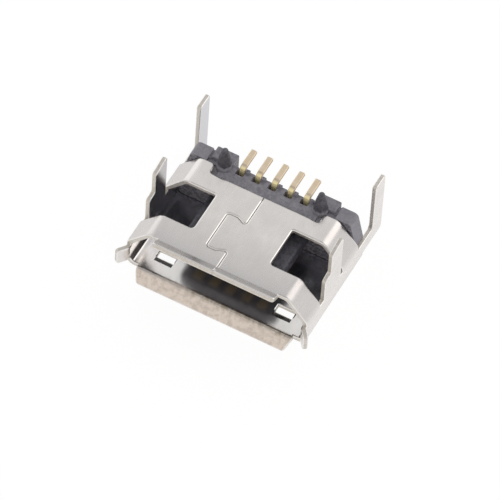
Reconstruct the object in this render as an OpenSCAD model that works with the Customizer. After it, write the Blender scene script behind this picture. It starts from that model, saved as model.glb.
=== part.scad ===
// Micro USB socket for through-hole board mounting.
// X runs across the socket, the mouth opens towards -Y, the solder tails run towards +Y.
// The part lies as it is handled loose: its board side, legs and posts point up (+Z).
// The origin is on the board side, midway between the two locating posts.
// All sizes are in millimetres.

/* [Shell section] */
// Sheet thickness of the shell
sheet = 0.2; // [0.15:0.01:0.25]
// Clear width inside the mouth
mouth_w = 6.9; // [6.7:0.05:7.2]
// Clear height inside the mouth
mouth_h = 1.85; // [1.75:0.01:2]
// Width of the board-side wall between its two shoulder folds, outside
top_w = 5.64; // [5.3:0.02:5.8]
// Height of the sloped shoulders, outside
shoulder_h = 0.97; // [0.8:0.01:1.05]
// Inner radius of the long folds
fold_r = 0.15; // [0.1:0.01:0.2]

/* [Shell length] */
// Front edge of the walls, before the flares, measured from the posts
mouth_depth = 4.12; // [3.9:0.01:4.4]
// Rear edge of the board-side wall in the middle, in front of the posts
top_back = 0.62; // [0.5:0.01:0.75]
// Rear edge of the shoulders, in front of the posts
shoulder_back = 0.18; // [0.1:0.01:0.25]
// Rear edge of the wide wall, behind the posts
floor_back = 0.25; // [0.15:0.01:0.35]
// Distance from the middle to the step in the rear edge
step_x = 2.2; // [2.1:0.01:2.4]
// Radius of that step's outer corner
step_r = 0.2; // [0.1:0.01:0.22]

/* [Windows] */
// Inner edge of the windows, from the middle
window_x = 1.55; // [1.4:0.01:1.7]
// Rear edge of the windows, in front of the posts
window_back = 1.37; // [1.3:0.01:1.45]
// Front edge of the windows, in front of the posts
window_front = 3.09; // [3:0.01:3.2]
// Corner radius of the windows
window_r = 0.14; // [0.05:0.01:0.25]
// Depth of the windows' edge in the side walls, below the board side
window_drop = 1.15; // [1.12:0.01:1.3]

/* [Seam] */
// Gap between the two edges that meet in the seam
seam_gap = 0.04; // [0.03:0.005:0.06]
// Reach of the interlocking tab across the seam
tab_reach = 0.8; // [0.6:0.02:1]
// Rear edge of the tab, in front of the posts
tab_back = 1.86; // [1.6:0.02:2]
// Front edge of the tab, in front of the posts
tab_front = 3.52; // [3.4:0.02:3.6]
// Undercut that holds the tab
tab_hook = 0.2; // [0.1:0.01:0.3]
// Corner radius of the tab
tab_r = 0.12; // [0.05:0.01:0.14]

/* [Legs] */
// Height of the leg tips above the board side
leg_h = 1.17; // [0.9:0.01:1.6]
// Width of the rear legs
rear_leg_w = 0.72; // [0.5:0.01:0.8]
// Rear edge of the rear legs, behind the posts
rear_leg_back = 1.65; // [1.5:0.01:1.8]
// Width of the front legs above the board
front_leg_w = 0.84; // [0.6:0.01:0.9]
// Rear edge of the front legs, in front of the posts
front_leg_back = 1.54; // [1.5:0.01:1.6]
// Width that the front legs gain at their stop
stop_w = 0.41; // [0.2:0.01:0.5]
// Height of the stop above the board side
stop_h = 0; // [0:0.01:0.1]
// Corner radius of the leg tips
leg_r = 0.12; // [0.05:0.01:0.2]
// Slope of the front legs' tips
tip_fall = 0.14; // [0:0.01:0.25]
// Upper edge of the rear arms, below the board side
arm_top = 1.25; // [1.15:0.01:1.4]
// Lower edge of the rear arms, below the board side
arm_bottom = 1.9; // [1.7:0.01:1.9]

/* [Flares] */
// Angle of the wide lip below the mouth
lip_angle = 60; // [40:1:70]
// Flat length of the lip beyond its fold
lip_flat = 0.42; // [0.3:0.01:0.55]
// Width of the lip at its fold
lip_w = 6.3; // [6:0.05:6.5]
// Width of the lip at its edge
lip_edge_w = 5.95; // [5.5:0.05:6.2]
// Angle of the small flare on the board-side wall
flare_angle = 30; // [15:1:45]
// Flat length of that flare
flare_flat = 0.36; // [0.2:0.01:0.45]
// Width of that flare
flare_w = 4.9; // [4.4:0.05:5.1]
// Angle of the side tabs
horn_angle = 38; // [20:1:50]
// Flat length of the side tabs
horn_flat = 0.39; // [0.25:0.01:0.5]
// Upper edge of the side tabs, below the board side
horn_top = 1.16; // [1.1:0.01:1.3]
// Height of the side tabs
horn_h = 0.74; // [0.5:0.01:0.75]
// Corner radius of the flared edges
flare_r = 0.12; // [0.05:0.01:0.2]

/* [Latch holes] */
// Width of a latch hole
latch_w = 0.68; // [0.5:0.01:0.8]
// Length of a latch hole
latch_l = 0.52; // [0.4:0.01:0.7]
// Distance from the middle to the middle of a latch hole
latch_x = 2.4; // [2.3:0.01:2.5]
// Distance from the mouth's edge to a latch hole
latch_setback = 0.45; // [0.35:0.01:0.6]

/* [Insulator] */
// Clearance between the insulator and the shell
body_fit = 0.02; // [0.01:0.005:0.04]
// Front face of the insulator's body, in front of the posts
body_front = 0.6; // [0.5:0.01:0.75]
// Rear face of the ledge, behind the posts
ledge_back = 0.2; // [0.15:0.01:0.25]
// Top of the ledge below the board side
ledge_drop = 0.15; // [0.1:0.01:0.2]
// Width of the tongue
tongue_w = 3.9; // [3.5:0.05:4]
// Thickness of the tongue
tongue_t = 0.58; // [0.5:0.01:0.65]
// Top of the tongue below the board side
tongue_drop = 0.6; // [0.55:0.01:0.7]
// Distance from the mouth's edge to the tongue's tip
tongue_setback = 0.85; // [0.7:0.01:1]
// Slope of the tongue's tip edges
nose = 0.14; // [0.05:0.01:0.2]
// Corner radius of the tongue's tip, seen from above
tongue_r = 0.3; // [0.1:0.01:0.4]
// Clearance between the base and the rear arms
base_fit = 0.09; // [0.05:0.01:0.12]
// Outer edge of the outer blocks at their foot, from the middle
block_x = 3.52; // [3.4:0.01:3.6]
// Outer edge of the outer blocks at their top, from the middle
block_top_x = 3.24; // [3.1:0.01:3.35]
// Rear face of the outer blocks, behind the posts
block_back = 0.45; // [0.35:0.01:0.55]
// Top of the outer blocks below the board side
block_drop = 0.04; // [0:0.01:0.1]
// Radius of the outer blocks' upper edge
block_r = 0.1; // [0.05:0.01:0.2]
// Groove between the outer blocks and the inner ones
groove_w = 0.09; // [0.05:0.01:0.15]
// Distance from the middle to that groove
groove_x = 2.55; // [2.45:0.01:2.7]
// Inner edge of the inner blocks, from the middle
inner_x = 1.64; // [1.6:0.01:1.75]
// Length of the inner blocks
inner_l = 0.52; // [0.4:0.01:0.54]
// Rear face of the inner blocks, behind the posts
inner_back = 0.58; // [0.5:0.01:0.7]
// Top of the inner blocks below the board side
inner_drop = 0; // [0:0.01:0.08]

/* [Locating posts] */
// Distance between the two posts
post_gap = 3.9; // [3.7:0.05:4.1]
// Diameter of a post at the board
post_d = 0.44; // [0.4:0.01:0.5]
// Diameter of a post at its tip
post_tip_d = 0.24; // [0.2:0.01:0.3]
// Height of the cone at a post's foot above the board side
post_foot = 0.12; // [0.1:0.01:0.15]
// Top of a post's straight part above the board side
post_straight = 0.36; // [0.3:0.01:0.45]
// Diameter of the collar round a post's foot, below the board
collar_d = 0.6; // [0.55:0.01:0.7]
// Height of a post above the board side
post_h = 0.85; // [0.7:0.01:1]

/* [Contacts] */
// Number of contacts
contacts = 5; // [5:1:5]
// Distance between neighbouring contacts
pitch = 0.65; // [0.6:0.01:0.7]
// Thickness of a contact
contact_t = 0.15; // [0.1:0.01:0.2]
// Width of a contact on the tongue
blade_w = 0.35; // [0.25:0.01:0.4]
// Width of a solder tail
tail_w = 0.23; // [0.2:0.01:0.3]
// End of the solder tails, behind the posts
tail_end = 1.07; // [0.9:0.01:1.3]
// Front face of the contacts' upright parts, behind the posts
riser_y = 0.13; // [0.1:0.01:0.16]
// Board face of the solder tails, below the board side
tail_drop = 0.02; // [0:0.01:0.1]
// Inner radius of the contacts' bends
contact_r = 0.1; // [0.05:0.01:0.15]
// Height by which the contacts stand proud of the tongue
contact_proud = 0.03; // [0.01:0.01:0.05]
// Clearance round the contacts in the insulator
contact_fit = 0.01; // [0.005:0.005:0.02]
// Width of the notch in front of each upright part
notch_w = 0.34; // [0.3:0.01:0.4]
// Depth of that notch in front of the contact
notch_l = 0.2; // [0.1:0.01:0.25]
// Height of the guide beside each notch above the ledge
guide_h = 0.14; // [0.05:0.01:0.15]

/* [Hidden] */

arc_steps = 6;                        // straight pieces in one rounded corner
past = 0.5;                           // how far a cutter runs past what it cuts
shell_x = mouth_w / 2 + sheet;        // outer face of the side walls
shell_h = mouth_h + 2 * sheet;        // outer height of the shell
mouth_y = -mouth_depth;
lip_bend = 0.1;                       // inner radius of the folds at the flares
seat = 0.05;                          // how far a root reaches into what carries it
collar_drop = 0.04;                   // how far a post's collar stays below the board
collar_slope = 0.02;                  // how much wider the collar is at its foot
leg_seat = 0.3;                       // how far a leg's root reaches into its wall
tongue_top = -tongue_drop;
tongue_low = tongue_top - tongue_t;
tongue_y = mouth_y + tongue_setback;
blade_z = tongue_low - contact_proud + contact_t / 2;
tail_z = -tail_drop - contact_t / 2;
riser_mid = riser_y + contact_t / 2;
ledge_z = -ledge_drop;

// Points of an arc that rounds the corner b between a and c with radius r, all on one plane.
function corner(a, b, c, r) =
    let (u = (a - b) / norm(a - b), v = (c - b) / norm(c - b))
    let (half = acos(max(-1, min(1, u * v))) / 2)
    let (hub = b + (u + v) / norm(u + v) * r / sin(half))
    let (turn = sign(u[0] * v[1] - u[1] * v[0]), first = b + u * r / tan(half) - hub)
    [for (i = [0:arc_steps]) hub + spin(first, turn * (2 * half - 180) * i / arc_steps)];

// The vector p turned by an angle.
function spin(p, a) = [p[0] * cos(a) - p[1] * sin(a), p[0] * sin(a) + p[1] * cos(a)];

// A closed outline with its corners rounded: each corner is [x, y, radius].
function rounded(c) =
    [for (i = [0:len(c) - 1])
        let (n = len(c), b = [c[i][0], c[i][1]])
        let (a = [c[(i + n - 1) % n][0], c[(i + n - 1) % n][1]])
        let (d = [c[(i + 1) % n][0], c[(i + 1) % n][1]])
        each c[i][2] > 0 ? corner(a, b, d, c[i][2]) : [b]];

// An open line with its inner corners rounded.
function rounded_line(c) =
    [for (i = [0:len(c) - 1])
        let (b = [c[i][0], c[i][1]], inside = i > 0 && i < len(c) - 1)
        each inside && c[i][2] > 0
            ? corner([c[i - 1][0], c[i - 1][1]], b, [c[i + 1][0], c[i + 1][1]], c[i][2])
            : [b]];

// The two edges of a strip of a given width along a line, as one closed outline.
function strip(line, width) =
    let (last = len(line) - 1)
    let (way = [for (i = [0:last])
        let (d = line[min(i + 1, last)] - line[max(i - 1, 0)]) d / norm(d)])
    let (square_to = [for (w = way) [-w[1], w[0]] * width / 2])
    concat([for (i = [0:last]) line[i] + square_to[i]],
           [for (i = [last:-1:0]) line[i] - square_to[i]]);

// The shell's section, moved inwards by d, as [x, z, radius] corners.
function section(d, r) =
    let (slope = atan2(shoulder_h, shell_x - top_w / 2))
    let (top_in = d * tan(slope / 2), side_in = d * tan((90 - slope) / 2))
    let (xt = top_w / 2 - top_in, xs = shell_x - d, zs = -shoulder_h - side_in)
    [[-xt, -d, r], [xt, -d, r], [xs, zs, r], [xs, d - shell_h, r], [-xs, d - shell_h, r], [-xs, zs, r]];

// A section in X and Z, drawn from y0 to y1.
module along_y(y0, y1) translate([0, y1, 0]) rotate([90, 0, 0]) linear_extrude(y1 - y0) children();

// A profile in Y and Z, drawn from x0 to x1.
module along_x(x0, x1) translate([x0, 0, 0]) rotate([90, 0, 90]) linear_extrude(x1 - x0) children();

// A plan in X and Y, drawn from z0 to z1.
module along_z(z0, z1) translate([0, 0, z0]) linear_extrude(z1 - z0) children();

module both_sides() for (side = [0, 1]) mirror([side, 0, 0]) children();

// The folded tube of the shell, before its windows are cut.
module folded_tube() along_y(mouth_y, floor_back) difference() {
    polygon(rounded(section(0, fold_r + sheet)));
    polygon(rounded(section(sheet, fold_r)));
}

// Space behind the rear edge of the board-side wall and the shoulders.
module rear_opening() along_z(-arm_top, past) polygon(rounded([
    [-shell_x - past, floor_back + past, 0], [-shell_x - past, -shoulder_back, 0],
    [-step_x, -shoulder_back, step_r], [-step_x, -top_back, step_r / 2],
    [step_x, -top_back, step_r / 2], [step_x, -shoulder_back, step_r],
    [shell_x + past, -shoulder_back, 0], [shell_x + past, floor_back + past, 0]]));

// One window: it runs from the board-side wall over the shoulder into the side wall.
module window() along_z(-window_drop, past) polygon(rounded([
    [window_x, -window_front, window_r], [shell_x + past, -window_front, 0],
    [shell_x + past, -window_back, 0], [window_x, -window_back, window_r / 2]]));

// The seam's line in plan, from the rear edge to the front.
seam_line = rounded_line([
    [0, -top_back + past, 0], [0, -tab_back - tab_hook, tab_r * 0.75],
    [-tab_reach / 2, -tab_back, tab_r], [-tab_reach, -tab_back, tab_r],
    [-tab_reach, -tab_front, tab_r], [-tab_reach / 2, -tab_front, tab_r],
    [0, -tab_front + tab_hook, tab_r * 0.75], [0, mouth_y - past, 0]]);

module seam() along_z(-sheet - past / 2, past) polygon(strip(seam_line, seam_gap));

// A latch hole in the wide wall.
module latch_hole() translate([latch_x - latch_w / 2, mouth_y + latch_setback, -shell_h - past / 2])
    cube([latch_w, latch_l, sheet + past]);

// The profile of a flare: a fold that turns down by an angle, then a flat. It starts at the
// origin, on the face that becomes the outer side of the fold, and runs towards -X.
function flare_line(angle, flat) =
    let (r = lip_bend + sheet / 2)
    concat([[seat, -sheet / 2], [0, -sheet / 2]],
        [for (i = [1:arc_steps]) let (a = angle * i / arc_steps)
            [-r * sin(a), -sheet / 2 - r * (1 - cos(a))]],
        [[-r * sin(angle) - flat * cos(angle), -sheet / 2 - r * (1 - cos(angle)) - flat * sin(angle)]]);

module flare_profile(angle, flat) polygon(strip(flare_line(angle, flat), sheet));

// The wide lip: its plan narrows towards the edge and has round corners.
module lip() intersection() {
    translate([0, mouth_y, sheet - shell_h]) along_x(-lip_w / 2, lip_w / 2)
        flare_profile(lip_angle, lip_flat);
    along_z(-shell_h - past - lip_flat, 0) polygon(rounded([
        [-lip_w / 2, mouth_y + past, 0], [-lip_w / 2, mouth_y - lip_bend, flare_r],
        [-lip_edge_w / 2, mouth_y - lip_reach, flare_r], [lip_edge_w / 2, mouth_y - lip_reach, flare_r],
        [lip_w / 2, mouth_y - lip_bend, flare_r], [lip_w / 2, mouth_y + past, 0]]));
}
lip_reach = (lip_bend + sheet) * sin(lip_angle) + lip_flat * cos(lip_angle);

// The small flare on the board-side wall turns up, towards the board.
module flare() intersection() {
    translate([0, mouth_y, -sheet]) mirror([0, 0, 1]) along_x(-flare_w / 2, flare_w / 2)
        flare_profile(flare_angle, flare_flat);
    along_z(-sheet - past, past) polygon(rounded([
        [-flare_w / 2, mouth_y + past, 0], [-flare_w / 2, mouth_y - flare_reach, flare_r],
        [flare_w / 2, mouth_y - flare_reach, flare_r], [flare_w / 2, mouth_y + past, 0]]));
}
flare_reach = (lip_bend + sheet) * sin(flare_angle) + flare_flat * cos(flare_angle);

// A side tab turns outwards from the side wall's front edge.
module horn() intersection() {
    along_z(-horn_top - horn_h, -horn_top) translate([shell_x - sheet, mouth_y])
        rotate(90) flare_profile(horn_angle, horn_flat);
    along_x(0, shell_x + past) polygon(rounded([
        [mouth_y + past, -horn_top, 0], [mouth_y + past, -horn_top - horn_h, 0],
        [mouth_y - horn_reach, -horn_top - horn_h, flare_r], [mouth_y - horn_reach, -horn_top, flare_r]]));
}
horn_reach = (lip_bend + sheet) * sin(horn_angle) + horn_flat * cos(horn_angle);

// A front leg stands in the plane of the side wall and has a stop for the board in front.
module front_leg() along_x(shell_x - sheet, shell_x) polygon(rounded([
    [-front_leg_back, -window_drop - leg_seat, 0], [-front_leg_back, leg_h, leg_r],
    [-front_leg_back - front_leg_w, leg_h - tip_fall, leg_r],
    [-front_leg_back - front_leg_w, stop_h, leg_r / 2],
    [-front_leg_back - front_leg_w - stop_w, stop_h - tip_fall / 2, leg_r],
    [-front_leg_back - front_leg_w - stop_w, -window_drop - leg_seat, 0]]));

// A rear leg and the arm that carries it behind the shell.
module rear_leg() along_x(shell_x - sheet, shell_x) polygon(rounded([
    [-shoulder_back - leg_seat, -arm_bottom, 0], [rear_leg_back, -arm_bottom, leg_r],
    [rear_leg_back, leg_h, leg_r], [rear_leg_back - rear_leg_w, leg_h, leg_r],
    [rear_leg_back - rear_leg_w, -arm_top, leg_r], [-shoulder_back - leg_seat, -arm_top, 0]]));

module shell() color([0.82, 0.80, 0.78]) {
    difference() {
        union() {
            folded_tube();
            flare();
        }
        rear_opening();
        both_sides() window();
        both_sides() latch_hole();
        seam();
    }
    lip();
    both_sides() horn();
    both_sides() front_leg();
    both_sides() rear_leg();
}

function contact_x(i) = (i - (contacts + 1) / 2) * pitch;

// The centre line of a contact in Y and Z, from the tongue's tip to the end of the tail.
contact_line = rounded_line([
    [tongue_y + nose / 2, blade_z + nose, 0], [tongue_y + 2 * nose, blade_z, contact_t],
    [riser_mid, blade_z, contact_r + contact_t / 2], [riser_mid, tail_z, contact_r + contact_t / 2],
    [tail_end, tail_z, 0]]);

// The plan of a contact: the blade on the tongue is wider than the tail. grow adds a clearance.
module contact_plan(grow) polygon([
    [-blade_w / 2 - grow, tongue_y], [blade_w / 2 + grow, tongue_y],
    [blade_w / 2 + grow, -body_front], [tail_w / 2 + grow, -body_front + blade_w],
    [tail_w / 2 + grow, tail_end], [-tail_w / 2 - grow, tail_end],
    [-tail_w / 2 - grow, -body_front + blade_w], [-blade_w / 2 - grow, -body_front]]);

module contact_form(grow) intersection() {
    along_x(-blade_w, blade_w) polygon(strip(contact_line, contact_t + 2 * grow));
    along_z(-shell_h, past) contact_plan(grow);
}

module contact(i) color([0.90, 0.80, 0.62]) translate([contact_x(i), 0, 0]) contact_form(0);

// The tongue: chamfered at its tip and rounded in plan.
module tongue() intersection() {
    along_x(-tongue_w / 2, tongue_w / 2) polygon([
        [seat - body_front, tongue_top], [tongue_y + nose, tongue_top], [tongue_y, tongue_top - nose],
        [tongue_y, tongue_low + nose], [tongue_y + nose, tongue_low], [seat - body_front, tongue_low]]);
    along_z(-shell_h, 0) polygon(rounded([
        [-tongue_w / 2, past - body_front, 0], [-tongue_w / 2, tongue_y, tongue_r],
        [tongue_w / 2, tongue_y, tongue_r], [tongue_w / 2, past - body_front, 0]]));
}

// The body inside the shell, and behind it the base that carries the ledge and the blocks.
module core() {
    along_y(-body_front, ledge_back) polygon(rounded(section(sheet + body_fit, fold_r)));
    along_y(body_fit - shoulder_back, ledge_back) polygon(rounded([
        [-block_top_x, ledge_z, 0], [block_top_x, ledge_z, 0], [base_x, -arm_top, 0],
        [base_x, body_low, fold_r], [-base_x, body_low, fold_r], [-base_x, -arm_top, 0]]));
    along_x(-ledge_x, ledge_x) polygon([
        [body_fit - top_back, ledge_z - sheet], [body_fit - top_back, -sheet],
        [body_fit - top_back + sheet - ledge_drop, ledge_z], [ledge_back, ledge_z],
        [ledge_back, ledge_z - sheet]]);
}
body_low = sheet + body_fit - shell_h;
base_x = mouth_w / 2 - base_fit;
ledge_x = step_x - step_r;

// The base and the raised blocks beside the contacts and the posts. A groove parts the blocks.
// The outer blocks widen towards the arms, which run below them.
module blocks() {
    along_z(-arm_top, ledge_z) polygon([
        [inner_x, 0], [groove_x + groove_w, 0], [groove_x + groove_w, block_back],
        [groove_x - groove_w, block_back], [groove_x - groove_w, inner_back], [inner_x, inner_back]]);
    along_y(body_fit - shoulder_back, block_back) polygon(rounded([
        [groove_x + groove_w / 2, body_fit - arm_top, 0], [groove_x + groove_w / 2, -block_drop, 0],
        [block_top_x, -block_drop, block_r], [block_x, body_fit - arm_top, 0]]));
    along_z(ledge_z - seat, -inner_drop) polygon([
        [inner_x, inner_back - inner_l], [groove_x - groove_w / 2, inner_back - inner_l],
        [groove_x - groove_w / 2, inner_back], [inner_x, inner_back]]);
}

// A locating post: a collar below the board, a conical foot, a straight part and a tapered tip.
module post() translate([post_gap / 2, 0, 0]) rotate_extrude($fn = 32) polygon([
    [0, ledge_z - seat], [collar_d / 2 + collar_slope, ledge_z - seat],
    [collar_d / 2, -inner_drop - collar_drop],
    [post_d / 2, post_foot], [post_d / 2, post_straight],
    [post_tip_d / 2, post_h - post_tip_d / 4], [post_tip_d / 4, post_h], [0, post_h]]);

// The space round one contact: its own form with clearance and the notch in the ledge.
module contact_space() {
    contact_form(contact_fit);
    translate([-notch_w / 2, riser_y - notch_l, blade_z]) cube([notch_w, past, shell_h]);
}

module guide() translate([notch_w / 2, ledge_back - guide_h, ledge_z - seat])
    cube([pitch / 4, guide_h, guide_h + seat]);

module insulator() color([0.36, 0.35, 0.37]) {
    difference() {
        union() {
            core();
            tongue();
            both_sides() blocks();
        }
        for (i = [1:contacts]) translate([contact_x(i), 0, 0]) contact_space();
    }
    both_sides() post();
    for (i = [1:contacts]) translate([contact_x(i), 0, 0]) guide();
}

shell();
insulator();
contact(1);  // contact_1
contact(2);  // contact_2
contact(3);  // contact_3
contact(4);  // contact_4
contact(5);  // contact_5
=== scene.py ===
"""Micro USB socket, lying loose with its board side up, as a product picture.

Every length in the classes is in millimetres, in the part's own frame: X across the socket, the
mouth towards -Y, the board side, legs and posts towards +Z. The meshes are finished at that scale
and then turned into metres.
"""

import logging
import math
from dataclasses import dataclass, field
from enum import Enum

import bpy
import numpy as np
from mathutils import Matrix, Vector
from mathutils.geometry import delaunay_2d_cdt


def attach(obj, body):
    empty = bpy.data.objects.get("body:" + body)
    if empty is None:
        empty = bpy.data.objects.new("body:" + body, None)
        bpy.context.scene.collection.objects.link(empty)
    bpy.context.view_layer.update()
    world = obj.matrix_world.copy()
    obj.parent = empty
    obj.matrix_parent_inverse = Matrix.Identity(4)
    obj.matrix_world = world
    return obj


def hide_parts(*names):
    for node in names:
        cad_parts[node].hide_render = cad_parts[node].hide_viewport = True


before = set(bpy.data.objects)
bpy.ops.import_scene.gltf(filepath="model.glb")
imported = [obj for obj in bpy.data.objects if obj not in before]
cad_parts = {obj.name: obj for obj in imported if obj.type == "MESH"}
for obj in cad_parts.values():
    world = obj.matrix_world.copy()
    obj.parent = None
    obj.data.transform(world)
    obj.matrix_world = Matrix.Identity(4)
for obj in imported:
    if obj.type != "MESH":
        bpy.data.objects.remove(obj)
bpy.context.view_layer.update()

LOG = logging.getLogger("socket")
MM = 0.001
X, Y, Z = range(3)


class Slot(str, Enum):
    """The finishes that the part's record names."""

    SHELL = "shell"
    INSULATOR = "insulator"
    CONTACTS = "contacts"


# Curves and outlines


def arc_corner(a: np.ndarray, b: np.ndarray, c: np.ndarray, radius: float, steps: int) -> np.ndarray:
    """Rounds the corner b between a and c by the arc that touches both sides.

    The hub lies on the bisector at radius / sin(half), and the arc starts at radius / tan(half) from b.

    Args:
        a: The point before the corner.
        b: The corner.
        c: The point after the corner.
        radius: The arc's radius.
        steps: The number of straight pieces in the arc.

    Returns:
        The arc's points, as rows of X and Y.
    """
    u, v = (a - b) / np.linalg.norm(a - b), (c - b) / np.linalg.norm(c - b)
    half = math.acos(float(np.clip(u @ v, -1, 1))) / 2
    hub = b + (u + v) / np.linalg.norm(u + v) * radius / math.sin(half)
    first = b + u * radius / math.tan(half) - hub
    turn = math.copysign(1.0, u[0] * v[1] - u[1] * v[0]) * (2 * half - math.pi)
    angle = np.linspace(0, turn, steps + 1)
    cos, sin = np.cos(angle), np.sin(angle)
    return hub + np.stack([first[0] * cos - first[1] * sin, first[0] * sin + first[1] * cos], 1)


def round_corners(corners: list[tuple[float, float, float]], closed: bool, steps: int = 7) -> np.ndarray:
    """Rounds each corner (x, y, radius) of a line; a radius of 0 keeps the corner.

    Args:
        corners: The corners in order.
        closed: Whether the last corner joins the first.
        steps: The number of straight pieces in each arc.

    Returns:
        The line's points, as rows of X and Y.
    """
    points = [np.array(corner[:2], float) for corner in corners]
    rows = []
    for i, (_, _, radius) in enumerate(corners):
        inner = closed or 0 < i < len(corners) - 1
        if radius > 0 and inner:
            after = points[(i + 1) % len(points)]
            rows.append(arc_corner(points[i - 1], points[i], after, radius, steps))
        else:
            rows.append(points[i][None])
    return np.concatenate(rows)


def rectangle(x0: float, y0: float, x1: float, y1: float, radius: float) -> list:
    """The corners of an upright rectangle, each with that radius."""
    return [(x0, y0, radius), (x1, y0, radius), (x1, y1, radius), (x0, y1, radius)]


def both_sides(half: list) -> list:
    """The corners of the right half, followed by their mirror images backwards."""
    return half + [(-x, y, radius) for x, y, radius in half[::-1]]


def left_normals(line: np.ndarray) -> np.ndarray:
    """The unit normals of an open line, to the left of its way, from central differences."""
    way = np.gradient(line, axis=0)
    way /= np.linalg.norm(way, axis=1, keepdims=True)
    return np.stack([-way[:, 1], way[:, 0]], 1)


def inside(points: np.ndarray, loops: list[np.ndarray]) -> np.ndarray:
    """Whether each point lies inside the loops, by the even-odd rule over all their edges."""
    hit = np.zeros(len(points), int)
    for loop in loops:
        a, b = loop, np.roll(loop, -1, axis=0)
        spans = (a[None, :, 1] > points[:, None, 1]) != (b[None, :, 1] > points[:, None, 1])
        rise = np.where(b[:, 1] == a[:, 1], 1.0, b[:, 1] - a[:, 1])
        share = (points[:, None, 1] - a[None, :, 1]) / rise[None]
        cross = a[None, :, 0] + share * (b[:, 0] - a[:, 0])[None]
        hit += (spans & (points[:, None, 0] < cross)).sum(1)
    return hit % 2 == 1


# Mesh building


class Axis(Enum):
    """The way a plate's height points; its outline lies in the other two axes."""

    Y = ((1, 0, 0), (0, 0, 1), (0, -1, 0))
    Z = ((1, 0, 0), (0, 1, 0), (0, 0, 1))


@dataclass
class Surface:
    """Points, their normals, their faces and one value a point for the materials, in millimetres: how far
    round an edge it lies, with painted light and shade on some pieces.
    """

    points: np.ndarray
    normals: np.ndarray
    faces: list
    wear_and_painted_light: np.ndarray

    def __add__(self, other: "Surface") -> "Surface":
        """Both pieces as one."""
        count = len(self.points)
        moved = [[corner + count for corner in face] for face in other.faces]
        return Surface(np.concatenate([self.points, other.points]),
                       np.concatenate([self.normals, other.normals]), self.faces + moved,
                       np.concatenate([self.wear_and_painted_light, other.wear_and_painted_light]))

    def with_painted_light(self, level: float) -> "Surface":
        """The same piece painted lighter to at least that level, or all in painted shade for a negative
        level.
        """
        wear_and_painted_light = np.maximum(self.wear_and_painted_light, level) if level > 0 else np.full(len(self.wear_and_painted_light), level)
        return Surface(self.points, self.normals, self.faces, wear_and_painted_light)

    def mirrored(self) -> "Surface":
        """The same piece on the other side of the middle plane."""
        flip = np.array([-1.0, 1.0, 1.0])
        return Surface(self.points * flip, self.normals * flip, [face[::-1] for face in self.faces],
                       self.wear_and_painted_light)

    def to_object(self, name: str, material: bpy.types.Material) -> bpy.types.Object:
        """Makes the object in metres with the surface's own normals.

        Args:
            name: The object's name.
            material: Its material.

        Returns:
            The finished object, with the value for edges and painted light and shade as an attribute.
        """
        mesh = bpy.data.meshes.new(name)
        mesh.from_pydata((self.points * MM).tolist(), [], self.faces)
        mesh.materials.append(material)
        mesh.polygons.foreach_set("use_smooth", np.ones(len(self.faces), bool))
        mesh.update()
        length = np.linalg.norm(self.normals, axis=1, keepdims=True)
        mesh.normals_split_custom_set_from_vertices((self.normals / np.maximum(length, 1e-9)).tolist())
        obj = bpy.data.objects.new(name, mesh)
        bpy.context.scene.collection.objects.link(obj)
        write_attribute(obj, "wear_and_painted_light", self.wear_and_painted_light)
        return obj


def write_attribute(obj: bpy.types.Object, name: str, values: np.ndarray) -> None:
    """Writes one number a point, for the material to read."""
    obj.data.attributes.new(name, "FLOAT", "POINT").data.foreach_set("value", values.astype(np.float32))


def area_of(loop: np.ndarray) -> float:
    """The signed area of a closed outline, positive when it runs anticlockwise."""
    after = np.roll(loop, -1, axis=0)
    return float((loop[:, 0] * after[:, 1] - after[:, 0] * loop[:, 1]).sum() / 2)


def outward(before: np.ndarray, point: np.ndarray, after: np.ndarray) -> tuple[np.ndarray, np.ndarray]:
    """The outward offsets at corners whose material lies to the left.

    With the unit normals a and b of the two edges, the offset that keeps both edges parallel is
    (a + b) / (1 + a . b), and the shading normal is their sum weighted by the edges' lengths.

    Args:
        before: The points before the corners.
        point: The corners.
        after: The points after the corners.

    Returns:
        The offsets for a distance of 1, and the unit shading normals.
    """
    first, second = point - before, after - point
    near, far = (np.linalg.norm(v, axis=1, keepdims=True) for v in (first, second))
    a = np.stack([first[:, 1], -first[:, 0]], 1) / near
    b = np.stack([second[:, 1], -second[:, 0]], 1) / far
    offset = (a + b) / np.maximum(1 + (a * b).sum(1, keepdims=True), 0.35)
    mean = a * near + b * far
    return offset, mean / np.linalg.norm(mean, axis=1, keepdims=True)


def carried(points: np.ndarray, loops: list[np.ndarray], targets: list[np.ndarray]) -> np.ndarray:
    """Carries points on the sides of some loops to the same shares of their targets' sides.

    On the side from a to b a point has the share t = (p - a) . (b - a) / |b - a|^2, and it goes to
    A + t (B - A) on the target's side. Each point takes its nearest side.

    Args:
        points: The points.
        loops: The loops on which they lie.
        targets: Loops with as many corners.

    Returns:
        The carried points.
    """
    a, start = np.concatenate(loops), np.concatenate(targets)
    b, end = (np.concatenate([np.roll(loop, -1, axis=0) for loop in group]) for group in (loops, targets))
    way = b - a
    share = ((points[:, None] - a) * way).sum(2) / np.maximum((way ** 2).sum(1), 1e-12)
    share = np.clip(share, 0, 1)[:, :, None]
    near = np.linalg.norm(a + share * way - points[:, None], axis=2).argmin(1)
    share = share[np.arange(len(points)), near]
    return start[near] + share * (end - start)[near]


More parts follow.
